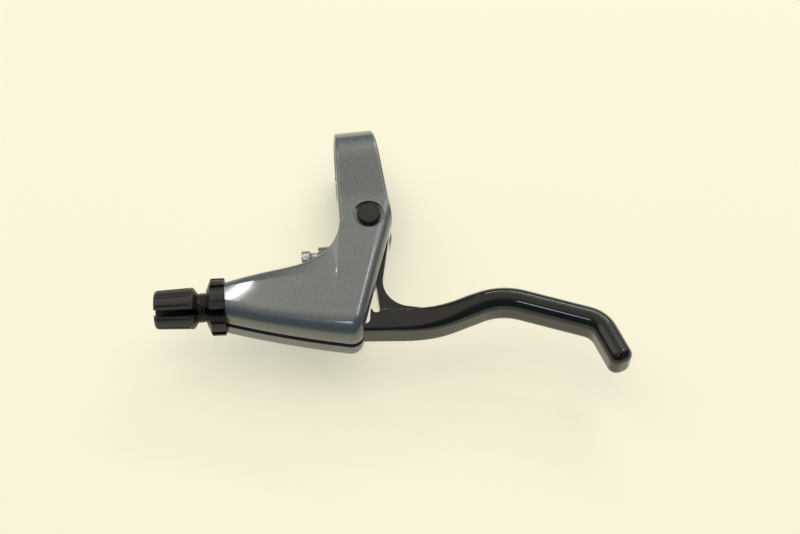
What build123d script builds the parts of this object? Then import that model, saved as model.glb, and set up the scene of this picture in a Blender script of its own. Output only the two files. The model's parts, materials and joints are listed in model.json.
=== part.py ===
from build123d import *
import os
from math import asin, atan2, cos, degrees, radians, sin, tan

# Bicycle brake lever for a flat handlebar, millimetres and degrees.
# Origin: middle of the handlebar clamp. +X runs along the bar towards the blade's tip,
# +Y towards the rider, +Z out of the top face, along the lever's pivot axis.

# Handlebar clamp
bar_diameter = 22.2
clamp_wall = 3.0
clamp_width = 13.5
clamp_slit = 2.0
slit_back = 4.0
bolt_diameter = 6.0
bolt_head_diameter = 9.6
bolt_head_height = 5.0
bolt_key = 5.0
bolt_key_depth = 2.6
bolt_cover = 2.6
bolt_lug_front = 9.0
bolt_lug_back = 12.4
lug_width = 10.4
bolt_head_edge = 0.5
bolt_end_chamfer = 0.6
bolt_hole_clearance = 0.3
thread_clearance = 0.05

# Pivot of the lever
pivot_forward = 25.0
pivot_outboard = 1.3
axle_diameter = 5.0
axle_head_diameter = 8.2
axle_head_height = 2.0
axle_head_bevel = 0.5
recess_diameter = 10.8
recess_depth = 1.3
axle_fit = 0.03
axle_tail = 1.0
running_clearance = 0.05
bush_wall = 1.0
bush_length = 3.4
flange_diameter = 9.0
flange_thickness = 0.4
end_float = 0.1
washer_thickness = 0.5
washer_diameter = 9.4
clip_thickness = 0.6
clip_diameter = 8.6
clip_groove_depth = 0.5
clip_mouth = 3.6

# Bracket casting: arm from the clamp to the pivot
ear_radius = 8.0
band_front = 5.0
arm_flank = (-10.5, -1.7)
arm_root_radius = 3.0
arm_slope = 13.0
slope_blend = 14.0
pad_height = 10.4
pad_overlap = 3.0
arm_underside = 9.2
arm_edge = 1.2

# Bracket casting: body from the nose to the mouth where the lever comes out
nose_top = 8.0
nose_back_top = 5.8
mouth_top = 10.8
body_bottom = 8.2
body_skin = 0.03
nose_drop = 0.2
mouth_drop = 1.1
shoulder_radius = 7.6
lower_edge_radius = 3.2
mouth_edge_radius = 4.2
lip_skin = 0.12
front_wall = 3.4
front_corner_turn = 10.2
front_bulge = 0.8
nose_half_width = 7.0
nose_shoulder_share = 0.8
nose_reach = 50.4
flank_lead = 17.2
flank_lift = 4.4
flank_tail = (-1.6, -17.4)
flank_inset = 0.2

# Sections of the body: share of the front edge, share of the back edge, place of the crease
# across the top, share of the back edge's height and radius of the back corners
nose_sections = ((0.0, 0.0, 0.72, 0.0, 4.0), (0.2, 0.2, 0.77, 0.28, 3.4), (0.4, 0.42, 0.78, 0.52, 2.8),
                 (0.6, 0.66, 0.75, 0.74, 2.0), (0.8, 1.0, 0.565, 1.0, 1.0))
mouth_sections = ((0.8, 0.0, 0.565, 1.0, 0.0), (0.9, 0.4, 0.645, 1.0, 0.0), (1.0, 1.0, 0.87, 1.0, 0.0))

# Hollows of the bracket
pocket_half_height = 5.0
pocket_clearance = 0.6
pocket_side_room = 1.6
pocket_corner = 4.0
inner_wall = 3.2
core_height = 7.6
core_start_half = 3.6
core_end_back = 5.0
core_end_front = 9.0
core_corner = 2.0
access_length = 19.0
access_corner = 3.0

# Cable line: from the nose to the lever, seen from above
pull_radius = 28.1
cable_angle = 3.8
cable_slot = 2.4
cable_hole = 2.4

# Adjuster
thread_diameter = 9.8
thread_depth = 12.0
thread_end_room = 0.5
thread_shown = 2.8
ring_diameter = 19.6
ring_width = 6.4
ring_cone_width = 1.7
ring_cone_depth = 4.0
ring_edge = 0.5
ring_gap = 0.1
ring_notches = 10
notch_width = 2.4
notch_depth = 0.9
barrel_length = 15.0
barrel_diameter = 14.2
barrel_taper = 1.1
barrel_cone = 1.6
barrel_edge = 0.6
barrel_nose_radius = 1.6
barrel_flutes = 10
flute_radius = 1.2
flute_depth = 0.45
flute_margin = 1.6
housing_diameter = 6.2
housing_depth = 9.0
adjuster_slot_turn = 49.0

# Reach screw
reach_forward = 9.1
reach_diameter = 4.0
reach_head_diameter = 5.6
reach_head_height = 3.2
reach_head_edge = 0.4
reach_key = 2.5
reach_key_depth = 1.8
reach_shown = 2.9
reach_boss_radius = 3.5
reach_boss_inboard = 18.6
stop_gap = 0.1

# Lever: places are measured from the pivot, outboard and towards the rider
hub_radius = 7.6
hub_height = 9.0
hub_meet = 15.0
web_height = 8.6
web_inboard = 13.3
web_shoulder = 5.0
web_corner = 3.0
web_overlap = 3.0
stop_inboard = 6.7
stop_front = 4.6
stop_back = 3.6
stop_corner = 1.0
heel = (-0.4, -32.1)
heel_radius = 9.8
blade_root = (-8.6, -37.3)
knuckle = (17.2, -40.3)
knuckle_radius = 40.0
crest = (41.2, -33.6)
crest_radius = 22.0
hook = (73.0, -47.6)
hook_radius = 9.0
tip = (76.9, -60.5)
tip_length = 4.0
tip_edge_share = 0.85
root_depth = 9.0
root_height = 9.2
root_corner = 1.2
blade_depth = 8.3
blade_height = 12.4
blade_corner = 3.8
root_sections = 8

# Lever: openings for the cable's end
nipple_diameter = 7.2
nipple_inboard = 6.1
window_outboard = 0.6
window_width = 4.2
window_back = 6.6
window_front = 8.0
window_tip = 2.0
window_corner = 1.5
window_tip_corner = 0.8
eye_width = 3.4
eye_length = 8.6
eye_inboard = 5.6
eye_forward = 35.3
eye_turn = 80.0

# Return spring
spring_wire = 1.2
spring_radius = 5.7
spring_turns = 2.0
spring_pitch = 1.35
spring_overrun = 8.0
spring_room = 0.45
spring_lift = 0.1
spring_head_room = 0.2
spring_leg = 2.4
spring_leg_share = 0.9
spring_hole_clearance = 0.15

# Derived places
bar_radius = bar_diameter / 2
clamp_radius = bar_radius + clamp_wall
half_clamp = clamp_width / 2
bolt_drop = bar_radius + bolt_cover + bolt_diameter / 2
axle_radius = axle_diameter / 2
bush_radius = axle_radius + running_clearance + bush_wall
half_hub = hub_height / 2
half_web = web_height / 2
pivot = Vector(pivot_outboard, -pivot_forward)
cable_way = Vector(cos(radians(cable_angle)), -sin(radians(cable_angle)))
cable_side = Vector(sin(radians(cable_angle)), cos(radians(cable_angle)))
cable_foot = pivot - cable_side * pull_radius
nose = cable_foot - cable_way * nose_reach
root_radius = (Vector(*blade_root) - Vector(0, root_depth / 2)).length
pocket_radius = root_radius + pocket_clearance
corner_reach = pocket_radius + front_wall
corner_way = Vector(-sin(radians(front_corner_turn)), -cos(radians(front_corner_turn)))
front_corner = pivot + corner_way * corner_reach
nose_front = nose - cable_side * nose_half_width
nose_back = nose + cable_side * nose_half_width
arm_left = pivot + Vector(*arm_flank)
arm_end = arm_left.Y - pad_overlap
flank_end = arm_left + Vector(flank_inset, 0)
reach_y = pivot.Y - reach_forward
stop_x = pivot.X - stop_inboard
axle_seat = pad_height - recess_depth
nipple_y = cable_foot.Y + (cable_foot.X - pivot.X + nipple_inboard) * tan(radians(cable_angle))
spring_start = -half_hub + spring_wire / 2 + spring_lift
spring_ceiling = spring_start + spring_pitch * spring_turns + spring_wire / 2 + spring_head_room
adjuster_plane = Plane(origin=nose, x_dir=cable_side, z_dir=-cable_way)
far = 200.0
margin = 1.0


def ear_tangent():
    """Point where the edge from the front corner touches the ear's circle."""
    way = pivot - front_corner
    turn = degrees(atan2(way.Y, way.X)) - degrees(asin(ear_radius / way.length))
    return pivot + Vector(sin(radians(turn)), -cos(radians(turn))) * ear_radius


def closed_face(points, radii):
    """Flat face with straight sides and one radius for each corner."""
    return make_face(FilletPolyline(*points, radius=radii, close=True))


def upright(face, low, high):
    """Plan face raised from one height to another."""
    return Pos(0, 0, low) * extrude(face, amount=high - low)


def blend(start, end, share):
    """Value between a start and an end."""
    return start + (end - start) * share


def body_section(front, back, share, crease, lift, back_radius):
    """Upright section of the body between a front and a back point of its plan."""
    top = blend(nose_top, mouth_top, share)
    drop = blend(nose_drop, mouth_drop, share)
    back_top = blend(nose_back_top, pad_height + body_skin, lift)
    front_radius = blend(nose_half_width * nose_shoulder_share, shoulder_radius, share)
    line = back - front
    width = line.length
    plane = Plane(origin=front, x_dir=line, z_dir=line.cross(Vector(0, 0, 1)))
    corners = [
        (0, -body_bottom),
        (width, -body_bottom),
        (width, back_top),
        (width * crease, top),
        (0, top - drop),
    ]
    radii = [lower_edge_radius, back_radius, back_radius, 0, front_radius]
    return plane * closed_face(corners, radii)


def bracket_body():
    """Long body with its rounded front shoulder and the crease on its top."""
    middle = (nose_front + front_corner) * 0.5
    outward = (front_corner - nose_front).cross(Vector(0, 0, 1)).normalized()
    front_edge = ThreePointArc(nose_front, middle + outward * front_bulge, front_corner)
    flank = Bezier(
        nose_back,
        nose_back + cable_way * flank_lead + cable_side * flank_lift,
        flank_end + Vector(*flank_tail),
        flank_end,
    )
    across = Line(flank_end, ear_tangent())
    nose_faces = [
        body_section(front_edge @ share, flank @ back, share, *rest)
        for share, back, *rest in nose_sections
    ]
    mouth_faces = [
        body_section(front_edge @ share, across @ back, share, *rest)
        for share, back, *rest in mouth_sections
    ]
    mouth_part = loft(mouth_faces, ruled=True)
    mouth = mouth_part.faces().sort_by_distance(mouth_faces[-1].center())[0]
    lips = mouth.edges().filter_by(Axis.Z, reverse=True)
    # The two lofts end in the same section, so they are glued there
    return loft(nose_faces).fuse(fillet(lips, mouth_edge_radius), glue=True)


def arm_profile():
    """Side view of the arm: clamp band, slope and level pad round the pivot."""
    slope = radians(arm_slope)
    touch = Vector(-clamp_radius * sin(slope), clamp_radius * cos(slope))
    pad_start = touch.X - (touch.Y - pad_height) / tan(slope)
    pad_end = pivot.Y - ear_radius - margin
    points = [
        (0, 0),
        (touch.X, touch.Y),
        (pad_start, pad_height),
        (pad_end, pad_height),
        (pad_end, -arm_underside),
        (0, -arm_underside),
    ]
    profile = closed_face(points, [0, 0, slope_blend, 0, 0, 0]) + Circle(clamp_radius)
    armpit = Vector(-((clamp_radius**2 - arm_underside**2) ** 0.5), -arm_underside)
    inner_corner = profile.vertices().sort_by_distance(armpit)[0]
    return Plane.YZ * fillet(inner_corner, arm_root_radius)


def bracket_arm():
    """Arm from the clamp band to the ears, seen from above inside one smooth hull."""
    band_length = band_front + clamp_radius + margin
    band = Rectangle(clamp_width, band_length, align=(Align.CENTER, Align.MIN))
    band = Pos(0, -band_front) * band
    ear = Pos(pivot) * Circle(ear_radius)
    root = Pos(arm_left.X + arm_root_radius, arm_end) * Circle(arm_root_radius)
    plan = make_hull(band.edges() + ear.edges() + root.edges())
    tall = upright(plan, -clamp_radius - margin, clamp_radius + margin)
    front = Box(far, far, far, align=(Align.CENTER, Align.MAX, Align.MIN))
    arm = (tall & extrude(arm_profile(), amount=far, both=True)) - Pos(0, arm_end) * front
    rims = [
        edge
        for edge in arm.edges().filter_by(Axis.Z, reverse=True)
        if abs(edge.center().X) > half_clamp / 2 and edge.center().Y > arm_end
    ]
    return fillet(rims, arm_edge) - lip_runout()


def lip_runout():
    """Cutter that carries the round of the mouth's upper lip on until it leaves the ear."""
    lip = ear_tangent()
    way = (lip - front_corner).normalized()
    plane = Plane(origin=(lip.X, lip.Y, pad_height), x_dir=way.cross(Vector(0, 0, 1)), z_dir=-way)
    inside = Pos(-mouth_edge_radius - lip_skin, -mouth_edge_radius - lip_skin)
    corner = Rectangle(2 * mouth_edge_radius, 2 * mouth_edge_radius, align=(Align.MIN, Align.MIN))
    return extrude(plane * (inside * (corner - Circle(mouth_edge_radius))), amount=2 * ear_radius, both=True)


def clamp_lugs():
    """Two lugs under the bar, joined until the slit is cut."""
    length = bolt_lug_front + bolt_lug_back
    middle = (bolt_lug_back - bolt_lug_front) / 2
    block = Pos(0, middle, -bolt_drop / 2) * Box(lug_width, length, bolt_drop)
    foot = Pos(0, middle, -bolt_drop) * Rot(90, 0, 0) * Cylinder(lug_width / 2, length)
    return block + foot


def lever_pocket():
    """Space for the lever's root, open to the side that the lever leaves by."""
    hub_room = hub_radius + pocket_clearance
    left = pivot.X - web_inboard - pocket_side_room
    stop = stop_x - pocket_side_room
    corners = [
        (pivot.X, pivot.Y + hub_room),
        (far, pivot.Y + hub_room),
        (far, -far),
        (left, -far),
        (left, pivot.Y - pull_radius + web_shoulder),
        (stop, reach_y - stop_front),
        (stop, pivot.Y),
    ]
    sweep_room = Pos(pivot) * Circle(pocket_radius)
    plan = closed_face(corners, [0, 0, 0, 0, pocket_corner, pocket_corner, 0]) & sweep_room
    plan += Pos(pivot) * Circle(hub_room)
    return upright(plan, -pocket_half_height, pocket_half_height)


def nose_core():
    """Hollow that the cable crosses between the adjuster's thread and the lever."""
    start = nose + cable_way * (thread_depth + inner_wall)
    end = nose + cable_way * (nose_reach - web_inboard + margin)
    corners = [
        start - cable_side * core_start_half,
        start + cable_side * core_start_half,
        end + cable_side * core_end_back,
        end - cable_side * core_end_front,
    ]
    plan = closed_face(corners, [core_corner, core_corner, 0, 0])
    return upright(plan, -core_height / 2, core_height / 2)


def cable_access():
    """Cut-out in the lower plate where the cable's end is put into the lever."""
    left = pivot.X - web_inboard - pocket_clearance
    back = cable_foot.Y + access_length / 2
    front = cable_foot.Y - access_length / 2
    corners = [(left, back), (far, back), (far, front), (left, front)]
    plan = closed_face(corners, [access_corner, 0, 0, access_corner])
    return upright(plan, -far, -pocket_half_height + margin)


def along_x(radius, start, end, y, z=0.0):
    """Round rod parallel to the handlebar."""
    return Pos((start + end) / 2, y, z) * Rot(0, 90, 0) * Cylinder(radius, end - start)


def along_y(radius, start, end, z):
    """Round rod that crosses under the handlebar."""
    return Pos(0, (start + end) / 2, z) * Rot(90, 0, 0) * Cylinder(radius, end - start)


def at_pivot(radius, low, high, reach=0.0):
    """Round rod parallel to the pivot axis, set off towards the bar by a reach."""
    return Pos(pivot.X, pivot.Y + reach, (low + high) / 2) * Cylinder(radius, high - low)


def hexagon(key, depth):
    """Prism for a hexagon key, upwards from the work plane."""
    return extrude(RegularPolygon(key / 2, 6, major_radius=False), amount=depth)


def bracket():
    """The casting with its pocket, bores, slots and cut-outs."""
    boss_end = pivot.X - reach_boss_inboard
    solid = bracket_body() + bracket_arm() + clamp_lugs()
    solid += along_x(reach_boss_radius, boss_end, stop_x - margin, reach_y)
    solid -= along_x(bar_radius, -far, far, 0)
    solid -= Pos(0, slit_back, -bolt_drop) * Box(2 * clamp_width, clamp_slit, 2 * bolt_drop)
    bolt_hole = bolt_diameter / 2 + bolt_hole_clearance
    solid -= along_y(bolt_hole, -bolt_lug_front - bolt_head_height, slit_back, -bolt_drop)
    solid -= along_y(bolt_diameter / 2 + thread_clearance, 0, far, -bolt_drop)
    solid -= lever_pocket() + nose_core() + cable_access()
    solid -= at_pivot(axle_radius + axle_fit, -far, far)
    solid -= at_pivot(recess_diameter / 2, axle_seat, far)
    solid -= at_pivot(
        spring_wire / 2 + spring_hole_clearance,
        -pocket_half_height - spring_leg,
        0,
        spring_radius,
    )
    thread_hole = thread_diameter / 2 + thread_clearance
    solid -= adjuster_plane * Pos(0, 0, -thread_depth / 2) * Cylinder(thread_hole, thread_depth + margin)
    solid -= adjuster_plane * Pos(0, 0, -nose_reach / 2) * Cylinder(cable_hole / 2, nose_reach)
    slot = Box(far, cable_slot, 2 * far, align=(Align.MAX, Align.CENTER, Align.CENTER))
    solid -= adjuster_plane * slot
    solid -= along_x(reach_diameter / 2 + thread_clearance, boss_end - margin, stop_x, reach_y)
    return solid


def lever_place(offset):
    """Plan point given by its offset from the pivot."""
    return pivot + Vector(*offset)


def blade_section(path, share):
    """Cross-section that grows slowly from the blade's root to its full size."""
    grown = share**3 * (3 - 2 * share**1.5)
    depth = blend(root_depth, blade_depth, grown)
    height = blend(root_height, blade_height, grown)
    corner = blend(root_corner, blade_corner, grown)
    way = path % share
    plane = Plane(origin=path @ share, x_dir=way.cross(Vector(0, 0, 1)), z_dir=way)
    return plane * RectangleRounded(depth, height, corner)


def finger_blade():
    """Blade from its flat root inside the bracket to the rounded tip."""
    path = FilletPolyline(
        lever_place(blade_root),
        lever_place(knuckle),
        lever_place(crest),
        lever_place(hook),
        lever_place(tip),
        radius=[knuckle_radius, crest_radius, hook_radius],
    )
    ways = path.edges()
    root_way = Wire(ways[:3])
    grip_way = Wire(ways[3:])
    shares = [index / (root_sections - 1) for index in range(root_sections)]
    sections = [blade_section(root_way, share) for share in shares]
    grip = sweep(sections[-1], grip_way)
    end = extrude(blade_section(grip_way, 1), amount=tip_length)
    tip_face = end.faces().sort_by(Axis((0, 0, 0), grip_way % 1))[-1]
    end = fillet(tip_face.edges(), blade_corner * tip_edge_share)
    return loft(sections) + grip + end


def lever_web():
    """Flat plate from the hub to the blade, with the stop face and the heel."""
    meet = radians(hub_meet)
    corners = [
        (0, 0),
        (hub_radius * cos(meet), -hub_radius * sin(meet)),
        heel,
        (knuckle[0] + web_overlap, knuckle[1] + web_overlap),
        (-web_inboard, blade_root[1]),
        (-web_inboard, web_shoulder - pull_radius),
        (-stop_inboard, -reach_forward - stop_front),
        (-stop_inboard, -reach_forward + stop_back),
    ]
    radii = [0, 0, heel_radius, 0, web_corner, web_corner, stop_corner, stop_corner]
    plan = closed_face([lever_place(point) for point in corners], radii)
    return upright(plan, -half_web, half_web)


def cable_window():
    """Opening for the cable's end, with its round seat, and the eye in front of it."""
    seat = Pos(pivot.X - nipple_inboard, nipple_y) * Circle(nipple_diameter / 2)
    right = pivot.X - window_outboard
    left = right - window_width
    back = nipple_y + window_back
    front = nipple_y - window_front
    corners = [
        (left, back),
        (right, back),
        (right, front),
        (right - window_tip, front),
        (left, nipple_y - nipple_diameter / 2),
    ]
    radii = [window_corner, window_corner, window_tip_corner, window_tip_corner, 0]
    eye = SlotOverall(eye_length, eye_width)
    eye = Pos(pivot.X - eye_inboard, pivot.Y - eye_forward) * Rot(0, 0, eye_turn) * eye
    return upright(seat + closed_face(corners, radii) + eye, -far, far)


def lever_blade():
    """The lever casting with its bore, spring well, window and cable slot."""
    solid = lever_web() + finger_blade() + at_pivot(hub_radius, -half_hub, half_hub)
    solid -= at_pivot(bush_radius, -far, far)
    well_outer = spring_radius + spring_wire / 2 + spring_room
    well_inner = spring_radius - spring_wire / 2 - spring_room
    solid -= at_pivot(well_outer, -far, spring_ceiling) - at_pivot(well_inner, -far, far)
    solid -= at_pivot(
        spring_wire / 2 + spring_hole_clearance,
        spring_ceiling - margin,
        spring_ceiling + spring_leg,
        spring_radius,
    )
    solid -= cable_window()
    slot = Box(far, 2 * nipple_diameter, cable_slot, align=(Align.MAX, Align.MAX, Align.CENTER))
    return solid - Pos(pivot.X - nipple_inboard, nipple_y + cable_slot / 2) * slot


def pivot_axle():
    """Axle with its flat bevelled head and the groove for the clip."""
    low = -arm_underside - washer_thickness - clip_thickness - axle_tail
    head = at_pivot(axle_head_diameter / 2, axle_seat, axle_seat + axle_head_height)
    head = chamfer(head.edges().sort_by(Axis.Z)[-1], axle_head_bevel)
    groove_top = -arm_underside - washer_thickness
    groove = at_pivot(far, groove_top - clip_thickness - end_float, groove_top)
    groove -= at_pivot(axle_radius - clip_groove_depth, -far, far)
    return head + at_pivot(axle_radius, low, axle_seat) - groove


def pivot_washer():
    """Washer under the lower ear."""
    top = -arm_underside
    ring = at_pivot(washer_diameter / 2, top - washer_thickness, top)
    return ring - at_pivot(axle_radius + running_clearance, -far, far)


def pivot_clip():
    """Retaining ring that snaps into the axle's groove from the side."""
    top = -arm_underside - washer_thickness - end_float / 2
    inner = axle_radius - clip_groove_depth + axle_fit
    ring = at_pivot(clip_diameter / 2, top - clip_thickness, top)
    ring -= at_pivot(inner, -far, far)
    mouth = Box(clip_mouth, clip_diameter, far, align=(Align.CENTER, Align.MIN, Align.CENTER))
    return ring - Pos(pivot) * mouth


def bush(side):
    """Flanged bush at the top or the bottom of the hub."""
    flange = at_pivot(flange_diameter / 2, half_hub, half_hub + flange_thickness)
    sleeve = at_pivot(bush_radius - axle_fit, half_hub - bush_length, half_hub)
    solid = flange + sleeve - at_pivot(axle_radius + running_clearance, -far, far)
    return solid if side > 0 else mirror(solid, Plane.XY)


def return_spring():
    """Torsion spring with one leg in the lower ear and one in the hub."""
    wire = spring_wire / 2
    leg = wire * spring_leg_share
    rise = spring_pitch * spring_turns
    extra = spring_pitch * spring_overrun / 360
    path = Helix(spring_pitch, rise + 2 * extra, spring_radius)
    section = Plane(origin=path @ 0, z_dir=path % 0) * Circle(wire)
    coil = Rot(0, 0, 90 - spring_overrun) * sweep(section, path)
    coil = Pos(pivot.X, pivot.Y, spring_start - extra) * coil
    low = -pocket_half_height - spring_leg + spring_hole_clearance
    high = spring_ceiling + spring_leg - spring_hole_clearance
    lower_leg = at_pivot(leg, low, spring_start, spring_radius)
    upper_leg = at_pivot(leg, spring_start + rise, high, spring_radius)
    return coil + lower_leg + upper_leg


def clamp_bolt():
    """Socket screw under the bar, its head towards the front."""
    upwards = (Align.CENTER, Align.CENTER, Align.MIN)
    head = Cylinder(bolt_head_diameter / 2, bolt_head_height, align=upwards)
    head = fillet(head.edges().sort_by(Axis.Z)[-1], bolt_head_edge)
    length = bolt_lug_front + bolt_lug_back
    shank = Cylinder(bolt_diameter / 2, length, align=(Align.CENTER, Align.CENTER, Align.MAX))
    shank = chamfer(shank.edges().sort_by(Axis.Z)[0], bolt_end_chamfer)
    socket = Pos(0, 0, bolt_head_height - bolt_key_depth) * hexagon(bolt_key, bolt_key_depth + margin)
    return Pos(0, -bolt_lug_front, -bolt_drop) * Rot(90, 0, 0) * (head + shank - socket)


def reach_screw():
    """Small socket screw whose tip stops the lever."""
    face = pivot.X - reach_boss_inboard - reach_shown
    head_end = face - reach_head_height
    solid = along_x(reach_head_diameter / 2, head_end, face, reach_y)
    solid = fillet(solid.edges().sort_by(Axis.X)[0], reach_head_edge)
    solid += along_x(reach_diameter / 2, face, stop_x - stop_gap, reach_y)
    socket = Plane(origin=(head_end - margin, reach_y, 0), x_dir=(0, 1, 0), z_dir=(1, 0, 0))
    return solid - socket * hexagon(reach_key, reach_key_depth + margin)


def adjuster_slit(width):
    """Slit from the adjuster's axis outwards, for laying the cable in."""
    return Rot(0, 0, 180 + adjuster_slot_turn) * Box(
        far, width, 2 * far, align=(Align.MIN, Align.CENTER, Align.CENTER)
    )


def adjuster_barrel():
    """Fluted barrel with its thread, housing socket and slit."""
    thread = thread_diameter / 2
    shoulder = ring_gap + ring_width + thread_shown
    end = shoulder + barrel_length
    root = barrel_diameter / 2
    outer = root - barrel_taper / 2
    profile = closed_face(
        [
            (0, thread_end_room - thread_depth),
            (thread, thread_end_room - thread_depth),
            (thread, shoulder),
            (root, shoulder + barrel_cone),
            (outer, end),
            (0, end),
        ],
        [0, barrel_edge, 0, barrel_edge, barrel_nose_radius, 0],
    )
    solid = revolve(Plane.XZ * profile, Axis.Z)
    start = shoulder + barrel_cone + flute_margin
    lean = atan2(barrel_taper / 2, barrel_length - barrel_cone)
    skin = root - (flute_margin + (end - start) / 2) * tan(lean)
    flute = Rot(0, -degrees(lean), 0) * Cylinder(flute_radius, end - start + margin)
    flute = Pos(skin + flute_radius - flute_depth, 0, (start + end + margin) / 2) * flute
    for index in range(barrel_flutes):
        solid -= Rot(0, 0, (index + 0.5) * 360 / barrel_flutes + adjuster_slot_turn) * flute
    solid -= Pos(0, 0, end) * Cylinder(housing_diameter / 2, 2 * housing_depth)
    solid -= Cylinder(cable_hole / 2, 2 * far)
    return adjuster_plane * (solid - adjuster_slit(cable_slot))


def adjuster_lock_ring():
    """Notched ring that locks the barrel against the nose."""
    bore = thread_diameter / 2 + running_clearance
    rim = ring_diameter / 2
    end = ring_gap + ring_width
    profile = closed_face(
        [
            (bore, ring_gap),
            (rim, ring_gap),
            (rim, end - ring_cone_width),
            (rim - ring_cone_depth, end),
            (bore, end),
        ],
        [0, ring_edge, ring_edge, 0, 0],
    )
    solid = revolve(Plane.XZ * profile, Axis.Z)
    notch = Pos(rim, 0, 0) * Box(2 * notch_depth, notch_width, far)
    for index in range(ring_notches):
        solid -= Rot(0, 0, (index + 0.5) * 360 / ring_notches + adjuster_slot_turn) * notch
    return adjuster_plane * (solid - adjuster_slit(cable_slot))


solids = {
    "bracket": bracket(),
    "clamp_bolt": clamp_bolt(),
    "lever_blade": lever_blade(),
    "pivot_axle": pivot_axle(),
    "upper_bush": bush(1),
    "lower_bush": bush(-1),
    "return_spring": return_spring(),
    "pivot_washer": pivot_washer(),
    "pivot_clip": pivot_clip(),
    "reach_screw": reach_screw(),
    "adjuster_barrel": adjuster_barrel(),
    "adjuster_lock_ring": adjuster_lock_ring(),
}

os.makedirs("parts", exist_ok=True)
for name, solid in solids.items():
    export_step(solid, f"parts/{name}.step")
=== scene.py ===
"""Looks of a flat-bar brake lever: paint, plating, turned threads and a plain studio."""

import json
import logging
import math
from abc import ABC, abstractmethod
from dataclasses import dataclass, field
from enum import Enum
from typing import Union

import bmesh
import bpy
from mathutils import Matrix, Vector


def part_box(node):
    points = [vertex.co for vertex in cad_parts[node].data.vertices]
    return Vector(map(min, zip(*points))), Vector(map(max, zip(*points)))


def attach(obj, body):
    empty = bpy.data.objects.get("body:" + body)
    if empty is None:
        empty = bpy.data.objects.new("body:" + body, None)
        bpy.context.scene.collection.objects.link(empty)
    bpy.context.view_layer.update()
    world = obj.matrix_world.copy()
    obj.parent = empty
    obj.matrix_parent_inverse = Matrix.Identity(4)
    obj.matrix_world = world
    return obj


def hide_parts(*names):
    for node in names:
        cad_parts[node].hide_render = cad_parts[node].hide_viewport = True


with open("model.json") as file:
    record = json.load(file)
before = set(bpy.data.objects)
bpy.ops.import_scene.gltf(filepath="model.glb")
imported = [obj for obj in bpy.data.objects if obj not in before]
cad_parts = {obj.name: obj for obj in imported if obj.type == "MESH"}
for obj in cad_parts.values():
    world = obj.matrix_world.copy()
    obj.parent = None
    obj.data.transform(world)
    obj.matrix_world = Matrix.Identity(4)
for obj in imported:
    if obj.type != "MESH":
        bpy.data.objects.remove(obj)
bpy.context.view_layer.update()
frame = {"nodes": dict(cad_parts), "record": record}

log = logging.getLogger("brake_lever")

Triple = tuple[float, float, float]
Colour = Triple
Span = tuple[float, float]
Number = Union[float, "Shade"]
Settings = dict[str, object]
Sockets = dict[str | int, object]

MM = 0.001
WELD = 0.0005 * MM
ORIGIN: Triple = (0.0, 0.0, 0.0)
UPWARDS: Triple = (0.0, 0.0, 1.0)
HEXAGON = 6

# Pale tone of the table and of the air behind it, as the camera sees them
BACKDROP: Colour = (1.0, 0.935, 0.69)


def recorded(entries: list[dict], name: str) -> dict:
    """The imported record's mount or joint of that name."""
    return next(entry for entry in entries if entry["name"] == name)


CLAMP = recorded(frame["record"]["mounts"], "handlebar_clamp")
BARREL_TURN = recorded(frame["record"]["behaviour"]["joints"], "barrel_turn")
REACH_TURN = recorded(frame["record"]["behaviour"]["joints"], "reach_screw_turn")


class MathStep(Enum):
    """Arithmetic that a shader expression can use."""

    ADD = "ADD"
    SUBTRACT = "SUBTRACT"
    MULTIPLY = "MULTIPLY"
    POWER = "POWER"
    LESS = "LESS_THAN"
    GREATER = "GREATER_THAN"


class Shade:
    """A shader value that takes part in Python expressions."""

    def __init__(self, bench: "Bench", socket: bpy.types.NodeSocket) -> None:
        """Wraps an output socket of a bench."""
        self.bench = bench
        self.socket = socket

    def __add__(self, other: Number) -> "Shade":
        """Sum of two values."""
        return self.bench.math(MathStep.ADD, self, other)

    def __radd__(self, other: Number) -> "Shade":
        """Sum with a number on the left."""
        return self.bench.math(MathStep.ADD, other, self)

    def __sub__(self, other: Number) -> "Shade":
        """Difference of two values."""
        return self.bench.math(MathStep.SUBTRACT, self, other)

    def __rsub__(self, other: Number) -> "Shade":
        """Difference from a number on the left."""
        return self.bench.math(MathStep.SUBTRACT, other, self)

    def __mul__(self, other: Number) -> "Shade":
        """Product of two values."""
        return self.bench.math(MathStep.MULTIPLY, self, other)

    def __rmul__(self, other: Number) -> "Shade":
        """Product with a number on the left."""
        return self.bench.math(MathStep.MULTIPLY, other, self)

    def __pow__(self, other: Number) -> "Shade":
        """Value raised to a power."""
        return self.bench.math(MathStep.POWER, self, other)

    def __lt__(self, other: Number) -> "Shade":
        """One where the value is smaller, else zero."""
        return self.bench.math(MathStep.LESS, self, other)

    def __gt__(self, other: Number) -> "Shade":
        """One where the value is larger, else zero."""
        return self.bench.math(MathStep.GREATER, self, other)


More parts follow.
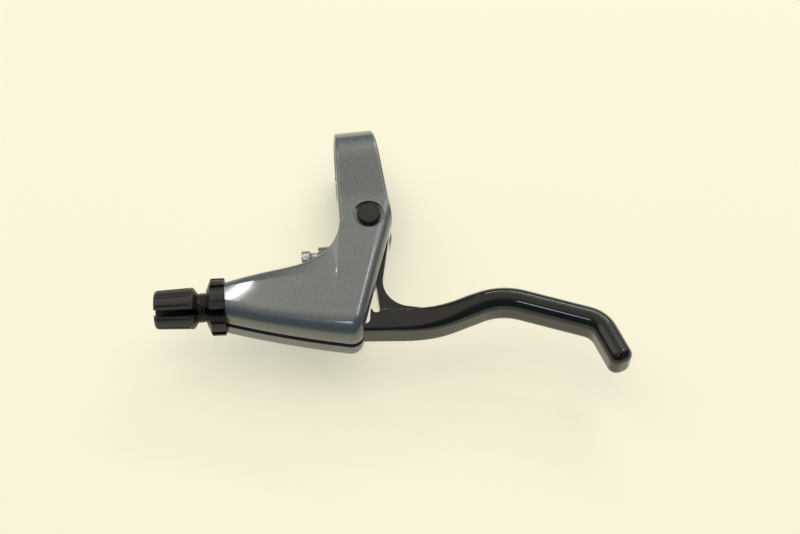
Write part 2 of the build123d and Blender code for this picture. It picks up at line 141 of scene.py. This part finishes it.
class Bench:
    """Node tree of one finish, with short calls for the nodes that the finishes share."""

    def __init__(self, tree: bpy.types.NodeTree) -> None:
        """Clears the node tree of a material or of the world."""
        self.tree = tree
        self.tree.nodes.clear()

    def node(
        self, kind: str, settings: Settings | None = None, sockets: Sockets | None = None
    ) -> bpy.types.Node:
        """Adds a node, applies its settings, then fills its sockets.

        Args:
            kind: Blender's type name of the node.
            settings: Properties of the node, set first.
            sockets: Values, colours or links for its inputs.

        Returns:
            The new node.
        """
        made = self.tree.nodes.new(kind)
        for name, value in (settings or {}).items():
            setattr(made, name, value)
        for key, value in (sockets or {}).items():
            target = made.inputs[key]
            if isinstance(value, Shade):
                self.tree.links.new(value.socket, target)
            elif isinstance(value, tuple) and target.type == "RGBA":
                target.default_value = (*value, 1.0)
            else:
                target.default_value = value
        return made

    def shade(
        self,
        kind: str,
        output: str | int,
        settings: Settings | None = None,
        sockets: Sockets | None = None,
    ) -> Shade:
        """Adds a node and gives one of its outputs as a shader value."""
        return Shade(self, self.node(kind, settings, sockets).outputs[output])

    def math(self, step: MathStep, first: Number, second: Number) -> Shade:
        """Adds one Math node for two values."""
        return self.shade("ShaderNodeMath", 0, {"operation": step.value}, {0: first, 1: second})

    def split(self, kind: str, value: Shade) -> tuple[Shade, ...]:
        """The three parts of a point or a colour, by the type of node that splits it."""
        return tuple(Shade(self, output) for output in self.node(kind, None, {0: value}).outputs)

    def place(self) -> Shade:
        """Point on the piece, in metres."""
        return self.shade("ShaderNodeTexCoord", "Object")

    def axes(self, place: Shade) -> tuple[Shade, ...]:
        """The three coordinates of a point."""
        return self.split("ShaderNodeSeparateXYZ", place)

    def stretch(self, place: Shade, scale: Triple) -> Shade:
        """Stretches a point before a pattern reads it."""
        return self.shade("ShaderNodeMapping", 0, None, {0: place, "Scale": scale})

    def noise(self, place: Shade, size: float, detail: float = 2.0) -> Shade:
        """Soft noise between 0 and 1, with spots of a size in metres and finer layers in them."""
        sockets = {"Vector": place, "Scale": 1.0 / size, "Detail": detail}
        return self.shade("ShaderNodeTexNoise", 0, None, sockets)

    def flakes(self, place: Shade, size: float) -> tuple[Shade, ...]:
        """Three random numbers between 0 and 1 for each small cell of a size in metres."""
        cells = self.shade("ShaderNodeTexVoronoi", "Color", None, {"Vector": place, "Scale": 1.0 / size})
        return self.split("ShaderNodeSeparateColor", cells)

    def ramp(self, value: Shade, span: Span) -> Shade:
        """Smooth step from 0 at the low end of a span to 1 at its high end."""
        settings = {"interpolation_type": "SMOOTHSTEP"}
        return self.shade("ShaderNodeMapRange", 0, settings, {0: value, 1: span[0], 2: span[1]})

    def tint(self, share: Number, first: Colour | Shade, second: Colour | Shade) -> Shade:
        """Colour between two colours: the first where the share is 0, the second where it is 1."""
        return self.shade("ShaderNodeMix", 2, {"data_type": "RGBA"}, {0: share, 6: first, 7: second})

    def bump(self, height: Shade, depth: float) -> Shade:
        """Surface normal that follows a height between 0 and 1, for a relief of a depth in metres."""
        return self.shade("ShaderNodeBump", 0, None, {"Height": height, "Distance": depth})

    def shown(self) -> Shade:
        """Tells what the camera sees from what only lights the scene.

        Returns:
            One for what is seen directly, mirrored or through glass, else zero.
        """
        rays = self.node("ShaderNodeLightPath").outputs
        kinds = ("Is Camera Ray", "Is Glossy Ray", "Is Transmission Ray")
        seen, mirrored, through = (Shade(self, rays[kind]) for kind in kinds)
        return seen + mirrored + through


def material_bench(name: str) -> tuple[bpy.types.Material, Bench]:
    """Starts a material with an empty bench.

    Args:
        name: Name of the material.

    Returns:
        The material and its bench.
    """
    made = bpy.data.materials.new(name)
    made.use_nodes = True
    return made, Bench(made.node_tree)


@dataclass(frozen=True)
class Finish(ABC):
    """Finish of the part's pieces, which ends in one Principled shader."""

    name: str

    @abstractmethod
    def sockets(self, bench: Bench, place: Shade) -> Sockets:
        """Works out the shader's inputs.

        Args:
            bench: Node tree of the finish.
            place: Point on the piece, in metres.

        Returns:
            The value or pattern of each input.
        """

    def make(self) -> bpy.types.Material:
        """Builds the material.

        Returns:
            The material.
        """
        made, bench = material_bench(self.name)
        shader = bench.shade("ShaderNodeBsdfPrincipled", 0, None, self.sockets(bench, bench.place()))
        bench.node("ShaderNodeOutputMaterial", None, {0: shader})
        return made


@dataclass(frozen=True)
class FlakePaint(Finish):
    """Metallic paint under clear lacquer, cut away where the clamp is bored."""

    deep: Colour = (0.150, 0.155, 0.147)
    bright: Colour = (0.240, 0.245, 0.228)
    spark: Colour = (0.40, 0.41, 0.39)
    flake_size: float = 0.16 * MM
    flake_share: float = 0.75
    cloud_size: float = 5.0 * MM
    spark_from: float = 0.94
    metallic: float = 0.62
    rough: float = 0.30
    rough_spread: float = 0.22
    coat_rough: float = 0.05
    coat_ior: float = 1.45
    peel_size: float = 1.4 * MM
    peel_depth: float = 0.004 * MM
    bore: float = CLAMP["dims"]["r_mm"] * MM
    bore_margin: float = 0.06 * MM
    bare: Colour = (0.56, 0.555, 0.53)
    bare_rough: float = 0.24
    bare_spread: float = 0.2
    ring_size: float = 0.12 * MM
    ring_stretch: Triple = (1.0, 0.02, 0.02)

    def sockets(self, bench: Bench, place: Shade) -> Sockets:
        """Works out the flakes, the lacquer and the bare bore.

        Args:
            bench: Node tree of the finish.
            place: Point on the piece, in metres.

        Returns:
            The value or pattern of each input.
        """
        _, across, above = bench.axes(place)
        shine, tilt, chance = bench.flakes(place, self.flake_size)
        cloud = bench.noise(place, self.cloud_size)
        mix = shine * self.flake_share + cloud * (1.0 - self.flake_share)
        paint = bench.tint(mix, self.deep, self.bright)
        paint = bench.tint((chance > self.spark_from) * shine, paint, self.spark)
        cut = (across * across + above * above) ** 0.5 < self.bore + self.bore_margin
        rings = bench.noise(bench.stretch(place, self.ring_stretch), self.ring_size)
        paint_rough = self.rough + tilt * self.rough_spread
        bare_rough = self.bare_rough + rings * self.bare_spread
        peel = bench.noise(place, self.peel_size, detail=1.0)
        return {
            "Base Color": bench.tint(cut, paint, self.bare),
            "Metallic": self.metallic + cut * (1.0 - self.metallic),
            "Roughness": (1.0 - cut) * paint_rough + cut * bare_rough,
            "Coat Weight": 1.0 - cut,
            "Coat Roughness": self.coat_rough,
            "Coat IOR": self.coat_ior,
            "Normal": bench.bump(peel, self.peel_depth),
        }


@dataclass(frozen=True)
class Enamel(Finish):
    """Thick gloss paint on a casting, with the casting's faint waves under it."""

    deep: Colour = (0.0105, 0.0082, 0.0055)
    bright: Colour = (0.019, 0.0152, 0.0102)
    haze_size: float = 9.0 * MM
    haze_share: float = 0.6
    haze_span: Span = (0.45, 0.75)
    grain_size: float = 0.35 * MM
    wave_size: float = 3.2 * MM
    wave_depth: float = 0.012 * MM
    rough: float = 0.20
    rough_spread: float = 0.14
    specular: float = 0.15
    coat_rough: float = 0.04
    coat_ior: float = 1.4

    def sockets(self, bench: Bench, place: Shade) -> Sockets:
        """Works out the haze and the waves.

        Args:
            bench: Node tree of the finish.
            place: Point on the piece, in metres.

        Returns:
            The value or pattern of each input.
        """
        haze = bench.noise(place, self.haze_size, detail=4.0)
        grain = bench.noise(place, self.grain_size)
        wave = bench.noise(place, self.wave_size, detail=1.0)
        mix = haze * self.haze_share + grain * (1.0 - self.haze_share)
        return {
            "Base Color": bench.tint(mix, self.deep, self.bright),
            "Roughness": self.rough + bench.ramp(haze, self.haze_span) * self.rough_spread,
            "Specular IOR Level": self.specular,
            "Coat Weight": 1.0,
            "Coat Roughness": self.coat_rough,
            "Coat IOR": self.coat_ior,
            "Normal": bench.bump(wave, self.wave_depth),
        }


@dataclass(frozen=True)
class SatinBlack(Finish):
    """Dark oxide or anodised skin with a fine grain and lighter handling marks."""

    deep: Colour = (0.0185, 0.0148, 0.0100)
    bright: Colour = (0.041, 0.033, 0.023)
    metallic: float = 0.0
    rough: float = 0.30
    grain_size: float = 0.16 * MM
    grain_stretch: Triple = (1.0, 1.0, 1.0)
    grain_share: float = 0.5
    grain_rough: float = 0.1
    grain_depth: float = 0.006 * MM
    mark_size: float = 2.6 * MM
    mark_span: Span = (0.5, 0.8)
    mark_rough: float = 0.06

    def sockets(self, bench: Bench, place: Shade) -> Sockets:
        """Works out the grain and the marks.

        Args:
            bench: Node tree of the finish.
            place: Point on the piece, in metres.

        Returns:
            The value or pattern of each input.
        """
        grain = bench.noise(bench.stretch(place, self.grain_stretch), self.grain_size)
        marks = bench.noise(place, self.mark_size, detail=4.0)
        mix = grain * self.grain_share + bench.ramp(marks, self.mark_span) * (1.0 - self.grain_share)
        return {
            "Base Color": bench.tint(mix, self.deep, self.bright),
            "Metallic": self.metallic,
            "Roughness": self.rough + grain * self.grain_rough + marks * self.mark_rough,
            "Normal": bench.bump(grain, self.grain_depth),
        }


@dataclass(frozen=True)
class BrightSteel(Finish):
    """Bare or plated steel with a crystalline bloom and turning lines."""

    cool: Colour = (0.66, 0.66, 0.64)
    warm: Colour = (0.72, 0.66, 0.55)
    rough: float = 0.19
    bloom_size: float = 0.8 * MM
    bloom_span: Span = (0.35, 0.7)
    bloom_rough: float = 0.12
    line_size: float = 0.1 * MM
    line_stretch: Triple = (1.0, 1.0, 1.0)
    line_rough: float = 0.06
    line_depth: float = 0.003 * MM

    def sockets(self, bench: Bench, place: Shade) -> Sockets:
        """Works out the bloom and the lines.

        Args:
            bench: Node tree of the finish.
            place: Point on the piece, in metres.

        Returns:
            The value or pattern of each input.
        """
        bloom = bench.noise(place, self.bloom_size, detail=4.0)
        lines = bench.noise(bench.stretch(place, self.line_stretch), self.line_size)
        return {
            "Base Color": bench.tint(bench.ramp(bloom, self.bloom_span), self.cool, self.warm),
            "Metallic": 1.0,
            "Roughness": self.rough + bloom * self.bloom_rough + lines * self.line_rough,
            "Normal": bench.bump(lines, self.line_depth),
        }


@dataclass(frozen=True)
class BearingPlastic(Finish):
    """Dull moulded plastic of the bushes."""

    deep: Colour = (0.035, 0.034, 0.033)
    bright: Colour = (0.06, 0.058, 0.055)
    rough: float = 0.5
    rough_spread: float = 0.15
    grain_size: float = 0.2 * MM
    grain_depth: float = 0.008 * MM

    def sockets(self, bench: Bench, place: Shade) -> Sockets:
        """Works out the moulded grain.

        Args:
            bench: Node tree of the finish.
            place: Point on the piece, in metres.

        Returns:
            The value or pattern of each input.
        """
        grain = bench.noise(place, self.grain_size, detail=3.0)
        return {
            "Base Color": bench.tint(grain, self.deep, self.bright),
            "Roughness": self.rough + grain * self.rough_spread,
            "Normal": bench.bump(grain, self.grain_depth),
        }


class Slot(Enum):
    """Finishes of the part, by the names of its material slots."""

    BRACKET = "bracket_paint"
    LEVER = "lever_paint"
    ADJUSTER = "adjuster_black"
    BLACK_STEEL = "black_steel"
    BRIGHT_STEEL = "bright_steel"
    SPRING = "spring_steel"
    BUSH = "bush_plastic"


class Palette:
    """Makes each finish once and puts it on the pieces."""

    def __init__(self) -> None:
        """Builds the materials of all slots."""
        finishes: dict[Slot, Finish] = {
            Slot.BRACKET: FlakePaint("flake_paint"),
            Slot.LEVER: Enamel("lever_enamel"),
            Slot.ADJUSTER: SatinBlack("anodised_black", grain_stretch=(0.05, 1.0, 1.0)),
            Slot.BLACK_STEEL: SatinBlack("oxide_black", rough=0.27, metallic=0.25),
            Slot.BRIGHT_STEEL: BrightSteel("zinc_plate", line_stretch=(1.0, 0.1, 0.1)),
            Slot.SPRING: BrightSteel(
                "spring_wire", cool=(0.30, 0.29, 0.28), warm=(0.36, 0.33, 0.29), rough=0.29
            ),
            Slot.BUSH: BearingPlastic("bearing_plastic"),
        }
        self.materials = {slot: finish.make() for slot, finish in finishes.items()}

    def dress(self, nodes: dict[str, Slot]) -> None:
        """Gives carried-over nodes their finishes.

        Args:
            nodes: Finish of each node, by the node's name.
        """
        for node, slot in nodes.items():
            for holder in frame["nodes"][node].material_slots:
                holder.material = self.materials[slot]
            log.info("node %s: %s", node, self.materials[slot].name)

    def dress_new(self, piece: bpy.types.Object, slot: Slot) -> None:
        """Gives a new piece the finish of a slot.

        Args:
            piece: New piece.
            slot: Finish to use.
        """
        piece.data.materials.append(self.materials[slot])
        log.info("piece %s: %s", piece.name, self.materials[slot].name)


def finished_piece(
    name: str, mesh: bmesh.types.BMesh, place: Matrix, crease: float = 30.0
) -> bpy.types.Object:
    """Closes a bmesh into an object at the origin, with its place in its mesh.

    Args:
        name: Name of the piece.
        mesh: Shape in its own frame.
        place: Where that frame stands on the part.
        crease: Edges sharper than this angle, in degrees, stay sharp.

    Returns:
        The object.
    """
    bmesh.ops.remove_doubles(mesh, verts=mesh.verts, dist=WELD)
    bmesh.ops.transform(mesh, matrix=place, verts=mesh.verts)
    bmesh.ops.recalc_face_normals(mesh, faces=mesh.faces)
    for face in mesh.faces:
        face.smooth = True
    limit = math.radians(crease)
    for edge in mesh.edges:
        edge.smooth = len(edge.link_faces) == 2 and edge.calc_face_angle() < limit
    data = bpy.data.meshes.new(name)
    mesh.to_mesh(data)
    mesh.free()
    piece = bpy.data.objects.new(name, data)
    bpy.context.scene.collection.objects.link(piece)
    return piece


def standing_on(foot: Vector, axis: Vector) -> Matrix:
    """Place of a shape whose own Z axis runs from a foot along an axis of the part."""
    return Matrix.Translation(foot) @ axis.to_track_quat("Z", "Y").to_matrix().to_4x4()


def lathe(mesh: bmesh.types.BMesh, profile: list[tuple[float, float]], facets: int) -> None:
    """Turns a profile round the Z axis.

    Args:
        mesh: Mesh that takes the shape.
        profile: Radius and height of each corner.
        facets: Number of facets round the axis.
    """
    corners = [mesh.verts.new((radius, 0.0, height)) for radius, height in profile]
    edges = [mesh.edges.new(pair) for pair in zip(corners, corners[1:])]
    bmesh.ops.spin(
        mesh,
        geom=corners + edges,
        axis=UPWARDS,
        cent=ORIGIN,
        angle=math.tau,
        steps=facets,
        use_merge=True,
    )


@dataclass(frozen=True)
class ThreadRidge:
    """Closed screw ridge round the Z axis, whose foot is sunk in what it is cut on."""

    root: float
    crest: float
    start: float
    end: float
    pitch: float
    steps_in_turn: int = 28
    flat_share: float = 0.06

    def wind(self, mesh: bmesh.types.BMesh) -> None:
        """Winds the ridge's section up from its start to its end.

        Args:
            mesh: Mesh that takes the ridge.
        """
        turns = (self.end - self.start) / self.pitch - 1.0
        steps = round(turns * self.steps_in_turn)
        middle = self.start + self.pitch / 2
        flat = self.flat_share * self.pitch
        section = [
            (self.root, 0.0, self.start),
            (self.crest, 0.0, middle - flat),
            (self.crest, 0.0, middle + flat),
            (self.root, 0.0, self.start + self.pitch),
        ]
        bmesh.ops.spin(
            mesh,
            geom=[mesh.faces.new([mesh.verts.new(corner) for corner in section])],
            axis=UPWARDS,
            cent=ORIGIN,
            dvec=Vector(UPWARDS) * (self.pitch / self.steps_in_turn),
            angle=math.tau / self.steps_in_turn * steps,
            steps=steps,
            use_merge=False,
        )


@dataclass
class SocketScrew:
    """Screw with a round socket head and a cut thread, in place of its plain node."""

    node: str
    body: str
    slot: Slot
    axis: Vector
    thread_radius: float
    head_height: float
    key: float
    key_depth: float
    pitch: float
    round_over: float
    facets: int = 48
    arc_steps: int = 6
    crease: float = 32.0

    # Shares of the pitch: depth of the shank and of the ridge's foot, taper of the point
    root_share: float = 0.55
    foot_share: float = 0.6
    point_share: float = 0.4

    # Rim round the socket as a share of the key, and chamfer as a share of the head's height
    rim_share: float = 1.28
    chamfer_share: float = 0.12

    length: float = field(init=False)
    head_radius: float = field(init=False)
    place: Matrix = field(init=False)

    def __post_init__(self) -> None:
        """Takes the length, the head and the place from the node's box."""
        low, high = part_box(self.node)
        size = high - low
        self.length = size.dot(self.axis)
        self.head_radius = max(size - self.axis * self.length) / 2
        foot = (low + high) / 2 - self.axis * (self.length / 2)
        self.place = standing_on(foot, self.axis)

    def profile(self) -> list[tuple[float, float]]:
        """Outline of head and shank from the socket's rim to the tip.

        Returns:
            Radius and height of each corner.
        """
        root = self.thread_radius - self.root_share * self.pitch
        chamfer = self.chamfer_share * self.head_height
        turns = [math.pi / 2 * index / self.arc_steps for index in range(self.arc_steps + 1)]
        arc = [
            (
                self.head_radius - self.round_over * (1.0 - math.sin(turn)),
                self.round_over * (1.0 - math.cos(turn)),
            )
            for turn in turns
        ]
        return [
            (self.key / 2 * self.rim_share, 0.0),
            *arc,
            (self.head_radius, self.head_height - chamfer),
            (self.head_radius - chamfer, self.head_height),
            (root, self.head_height),
            (root, self.length - self.pitch),
            (root - self.point_share * self.pitch, self.length),
            (0.0, self.length),
        ]

    def socket(self, mesh: bmesh.types.BMesh) -> None:
        """Sinks the six-sided socket and joins its mouth to the head.

        Args:
            mesh: Mesh that holds the turned head.
        """
        rim = [edge for edge in mesh.edges if edge.is_boundary]
        corner_radius = self.key / 2 / math.cos(math.pi / HEXAGON)
        bmesh.ops.create_circle(mesh, segments=HEXAGON, radius=corner_radius)
        sides = [edge for edge in mesh.edges if edge.is_wire]
        bmesh.ops.subdivide_edges(mesh, edges=sides, cuts=self.facets // HEXAGON - 1)
        mouth = [edge for edge in mesh.edges if edge.is_wire]
        bmesh.ops.bridge_loops(mesh, edges=rim + mouth)
        wall = bmesh.ops.extrude_edge_only(mesh, edges=mouth)["geom"]
        floor = [item for item in wall if isinstance(item, bmesh.types.BMVert)]
        bmesh.ops.translate(mesh, verts=floor, vec=(0.0, 0.0, self.key_depth))
        lip = [item for item in wall if isinstance(item, bmesh.types.BMEdge) and item.is_boundary]
        bmesh.ops.contextual_create(mesh, geom=lip)

    def build(self) -> bpy.types.Object:
        """Turns the screw, sinks its socket and cuts its thread.

        Returns:
            The finished piece, which stands for its node.
        """
        mesh = bmesh.new()
        lathe(mesh, self.profile(), self.facets)
        bmesh.ops.remove_doubles(mesh, verts=mesh.verts, dist=WELD)
        self.socket(mesh)
        ridge = ThreadRidge(
            root=self.thread_radius - self.foot_share * self.pitch,
            crest=self.thread_radius,
            start=self.head_height,
            end=self.length - self.pitch,
            pitch=self.pitch,
        )
        ridge.wind(mesh)
        piece = finished_piece(self.node + "_turned", mesh, self.place, self.crease)
        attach(piece, self.body)
        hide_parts(self.node)
        return piece

    def dress(self, palette: Palette) -> None:
        """Builds the screw and gives it its finish."""
        palette.dress_new(self.build(), self.slot)


@dataclass
class BracketGroup:
    """Casting that the handlebar holds, with the clamp bolt and the pivot's axle."""

    nodes: dict[str, Slot] = field(
        default_factory=lambda: {
            "bracket": Slot.BRACKET,
            "clamp_bolt": Slot.BLACK_STEEL,
            "pivot_axle": Slot.BLACK_STEEL,
            "pivot_washer": Slot.BRIGHT_STEEL,
            "pivot_clip": Slot.SPRING,
            "return_spring": Slot.SPRING,
        }
    )
    bolt: SocketScrew = field(
        default_factory=lambda: SocketScrew(
            node="clamp_bolt",
            body="bracket_body",
            slot=Slot.BLACK_STEEL,
            axis=Vector((0.0, 1.0, 0.0)),
            thread_radius=3.0 * MM,
            head_height=5.0 * MM,
            key=5.0 * MM,
            key_depth=2.6 * MM,
            pitch=1.0 * MM,
            round_over=0.5 * MM,
        )
    )

    def dress(self, palette: Palette) -> None:
        """Puts the finishes on the bracket's nodes and builds its bolt."""
        palette.dress(self.nodes)
        self.bolt.dress(palette)


@dataclass
class LeverGroup:
    """Finger lever with its two bushes."""

    nodes: dict[str, Slot] = field(
        default_factory=lambda: {
            "lever_blade": Slot.LEVER,
            "upper_bush": Slot.BUSH,
            "lower_bush": Slot.BUSH,
        }
    )

    def dress(self, palette: Palette) -> None:
        """Puts the finishes on the lever's nodes."""
        palette.dress(self.nodes)


@dataclass
class AdjusterGroup:
    """Cable adjuster: barrel, lock ring and the thread between them."""

    nodes: dict[str, Slot] = field(
        default_factory=lambda: {
            "adjuster_barrel": Slot.ADJUSTER,
            "adjuster_lock_ring": Slot.ADJUSTER,
        }
    )
    nose: Vector = field(default_factory=lambda: Vector(BARREL_TURN["pos_m"]))
    axis: Vector = field(default_factory=lambda: Vector(BARREL_TURN["axis"]))
    crease: float = 25.0
    ridge: ThreadRidge = ThreadRidge(
        root=4.8 * MM, crest=5.14 * MM, start=6.6 * MM, end=9.5 * MM, pitch=0.9 * MM
    )

    def thread(self) -> bpy.types.Object:
        """Cuts the thread that shows between the lock ring and the barrel.

        Returns:
            The finished piece.
        """
        mesh = bmesh.new()
        self.ridge.wind(mesh)
        piece = finished_piece("adjuster_thread", mesh, standing_on(self.nose, self.axis), self.crease)
        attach(piece, "barrel")
        return piece

    def dress(self, palette: Palette) -> None:
        """Puts the finishes on the adjuster and builds its thread."""
        palette.dress(self.nodes)
        palette.dress_new(self.thread(), Slot.ADJUSTER)


@dataclass
class ReachGroup:
    """Small screw that sets how far the blade stands from the bar."""

    nodes: dict[str, Slot] = field(default_factory=lambda: {"reach_screw": Slot.BRIGHT_STEEL})
    screw: SocketScrew = field(
        default_factory=lambda: SocketScrew(
            node="reach_screw",
            body="reach_screw_body",
            slot=Slot.BRIGHT_STEEL,
            axis=Vector(REACH_TURN["axis"]),
            thread_radius=2.0 * MM,
            head_height=3.2 * MM,
            key=2.5 * MM,
            key_depth=1.8 * MM,
            pitch=0.7 * MM,
            round_over=0.7 * MM,
        )
    )

    def dress(self, palette: Palette) -> None:
        """Puts the finish on the plain node and builds the screw."""
        palette.dress(self.nodes)
        self.screw.dress(palette)


@dataclass(frozen=True)
class TableTop:
    """Matt table that stays pale to the camera, with a painted cool-grey shadow where the part stands
    close over it.
    """

    name: str = "table_top"
    matt: Colour = (0.50, 0.475, 0.38)
    patch: Colour = (0.84, 0.8, 0.68)
    patch_size: float = 0.2
    patch_share: float = 0.06
    # Cool grey of the painted shadow that the table's glow takes where the part stands close over it
    painted_shadow: Colour = (0.32, 0.36, 0.36)
    painted_shadow_reach: float = 18.0 * MM
    lift: float = 0.645

    def make(self) -> bpy.types.Material:
        """Builds the material.

        Returns:
            The material.
        """
        made, bench = material_bench(self.name)
        patches = bench.noise(bench.place(), self.patch_size, detail=3.0)
        colour = bench.tint(patches * self.patch_share, self.matt, self.patch)
        top = bench.shade("ShaderNodeBsdfDiffuse", 0, None, {0: colour})
        # Ambient occlusion blends the glow from the backdrop tone to that grey near the part: a painted
        # contact shadow
        clear = bench.shade("ShaderNodeAmbientOcclusion", "AO", None, {"Distance": self.painted_shadow_reach})
        pale = bench.tint(clear, self.painted_shadow, BACKDROP)
        glow = bench.shade("ShaderNodeEmission", 0, None, {0: pale, 1: bench.shown() * self.lift})
        both = bench.shade("ShaderNodeAddShader", 0, None, {0: top, 1: glow})
        bench.node("ShaderNodeOutputMaterial", None, {0: both})
        return made


@dataclass(frozen=True)
class StudioAir:
    """Surroundings: a pale patch overhead in dim air, and the backdrop's tone for the camera."""

    name: str = "studio_air"
    pale: Colour = (0.86, 0.84, 0.76)
    dim: Colour = (0.09, 0.145, 0.215)
    overhead: Triple = (0.0, 0.34, 0.94)
    patch_span: Span = (0.78, 0.965)
    strength: float = 0.85

    def make(self) -> bpy.types.World:
        """Builds the world.

        Returns:
            The world.
        """
        made = bpy.data.worlds.new(self.name)
        made.use_nodes = True
        bench = Bench(made.node_tree)
        way = bench.shade("ShaderNodeTexCoord", "Generated")
        product = {"operation": "DOT_PRODUCT"}
        facing = bench.shade("ShaderNodeVectorMath", "Value", product, {0: way, 1: self.overhead})
        light = bench.tint(bench.ramp(facing, self.patch_span), self.dim, self.pale)
        seen = bench.shade("ShaderNodeLightPath", "Is Camera Ray")
        colour = bench.tint(seen, light, BACKDROP)
        strength = self.strength + seen * (1.0 - self.strength)
        sky = bench.shade("ShaderNodeBackground", 0, None, {0: colour, 1: strength})
        bench.node("ShaderNodeOutputWorld", None, {0: sky})
        return made


@dataclass(frozen=True)
class Softbox:
    """Rectangular lamp of the studio, which the camera doesn't see."""

    name: str
    place: Triple
    aim: Triple
    size: tuple[float, float]
    power: float
    tint: Colour = (1.0, 1.0, 1.0)

    def build(self) -> bpy.types.Object:
        """Hangs the lamp.

        Returns:
            The lamp.
        """
        lamp = bpy.data.lights.new(self.name, "AREA")
        lamp.shape = "RECTANGLE"
        lamp.size, lamp.size_y = self.size
        lamp.energy = self.power
        lamp.color = self.tint
        made = bpy.data.objects.new(self.name, lamp)
        bpy.context.scene.collection.objects.link(made)
        made.location = self.place
        way = Vector(self.aim) - Vector(self.place)
        made.rotation_euler = way.to_track_quat("-Z", "Y").to_euler()
        made.visible_camera = False
        return made


@dataclass(frozen=True)
class PhotoCamera:
    """Camera at the angle from which the object is shown."""

    azimuth: float = -9.0
    elevation: float = 59.0
    roll: float = 1.6
    focal_pixels: float = 1800.0
    pixels_per_metre: float = 2800.0
    width: float = 800.0
    height: float = 534.0
    origin: tuple[float, float] = (356.6, 171.4)
    sensor_width: float = 36.0
    nearest: float = 0.01

    def build(self) -> bpy.types.Object:
        """Places the camera so that the part's origin falls on its pixel.

        Returns:
            The camera.
        """
        side, rise, roll = (math.radians(value) for value in (self.azimuth, self.elevation, self.roll))
        back = Vector((math.sin(side) * math.cos(rise), -math.cos(side) * math.cos(rise), math.sin(rise)))
        level = Vector((math.cos(side), math.sin(side), 0.0))
        upright = back.cross(level)
        right = level * math.cos(roll) + upright * math.sin(roll)
        above = upright * math.cos(roll) - level * math.sin(roll)
        distance = self.focal_pixels / self.pixels_per_metre
        across = (self.origin[0] - self.width / 2) / self.pixels_per_metre
        up = (self.height / 2 - self.origin[1]) / self.pixels_per_metre
        eye = back * distance - right * across - above * up
        lens = bpy.data.cameras.new("photo_camera")
        lens.sensor_width = self.sensor_width
        lens.lens = self.focal_pixels / self.width * self.sensor_width
        lens.clip_start = self.nearest
        made = bpy.data.objects.new("photo_camera", lens)
        bpy.context.scene.collection.objects.link(made)
        turn = Matrix((right, above, back)).transposed().to_4x4()
        made.matrix_world = Matrix.Translation(eye) @ turn
        bpy.context.scene.camera = made
        return made


@dataclass
class Studio:
    """Pale table, soft lamps, surroundings and the camera."""

    table_reach: float = 4.0
    table_gap: float = 0.05 * MM
    middle: Triple = (0.0, -0.04, 0.0)
    warm: Colour = (1.0, 0.97, 0.92)
    sky: Colour = (0.8, 0.9, 1.0)

    def lamps(self) -> tuple[Softbox, ...]:
        """Two large lamps light the part, and four small ones give the highlights on its gloss.

        Returns:
            The lamps.
        """
        return (
            Softbox(
                "left",
                place=(-1.0, 0.6, 1.1),
                aim=self.middle,
                size=(1.4, 1.4),
                power=7.5,
                tint=self.warm,
            ),
            Softbox(
                "right",
                place=(0.95, 0.9, 0.95),
                aim=self.middle,
                size=(1.2, 1.2),
                power=5.0,
                tint=self.warm,
            ),
            Softbox(
                "streak",
                place=(0.597, 0.296, 0.988),
                aim=(-0.003, -0.052, 0.010),
                size=(0.30, 0.10),
                power=0.75,
            ),
            Softbox(
                "tube",
                place=(0.43, 0.80, 0.62),
                aim=(0.05, -0.06, 0.0),
                size=(0.7, 0.06),
                power=1.85,
            ),
            Softbox(
                "glint",
                place=(-0.134, 0.330, 0.706),
                aim=(-0.047, -0.05, 0.008),
                size=(0.026, 0.007),
                power=0.037,
            ),
            Softbox(
                "window",
                place=(-0.163, -0.444, 0.810),
                aim=(-0.010, -0.066, 0.009),
                size=(0.12, 0.12),
                power=0.45,
                tint=self.sky,
            ),
        )

    def floor(self) -> bpy.types.Object:
        """Lays the table under the part's lowest point.

        Returns:
            The table.
        """
        lowest = min(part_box(node)[0].z for node in frame["nodes"])
        mesh = bmesh.new()
        bmesh.ops.create_grid(mesh, x_segments=2, y_segments=2, size=self.table_reach)
        piece = finished_piece("table", mesh, Matrix.Translation((0.0, 0.0, lowest - self.table_gap)))
        piece.data.materials.append(TableTop().make())
        log.info("stage %s", piece.name)
        return piece

    def build(self) -> None:
        """Sets up table, surroundings, lamps and camera."""
        self.floor()
        bpy.context.scene.world = StudioAir().make()
        for lamp in self.lamps():
            lamp.build()
        PhotoCamera().build()
        bpy.context.scene.view_settings.view_transform = "Standard"


def main() -> None:
    """Dresses each sub-assembly, then sets up the studio."""
    logging.basicConfig(level=logging.INFO, format="%(message)s")
    palette = Palette()
    for group in (BracketGroup(), LeverGroup(), AdjusterGroup(), ReachGroup()):
        group.dress(palette)
    Studio().build()


if __name__ == "__main__":
    main()
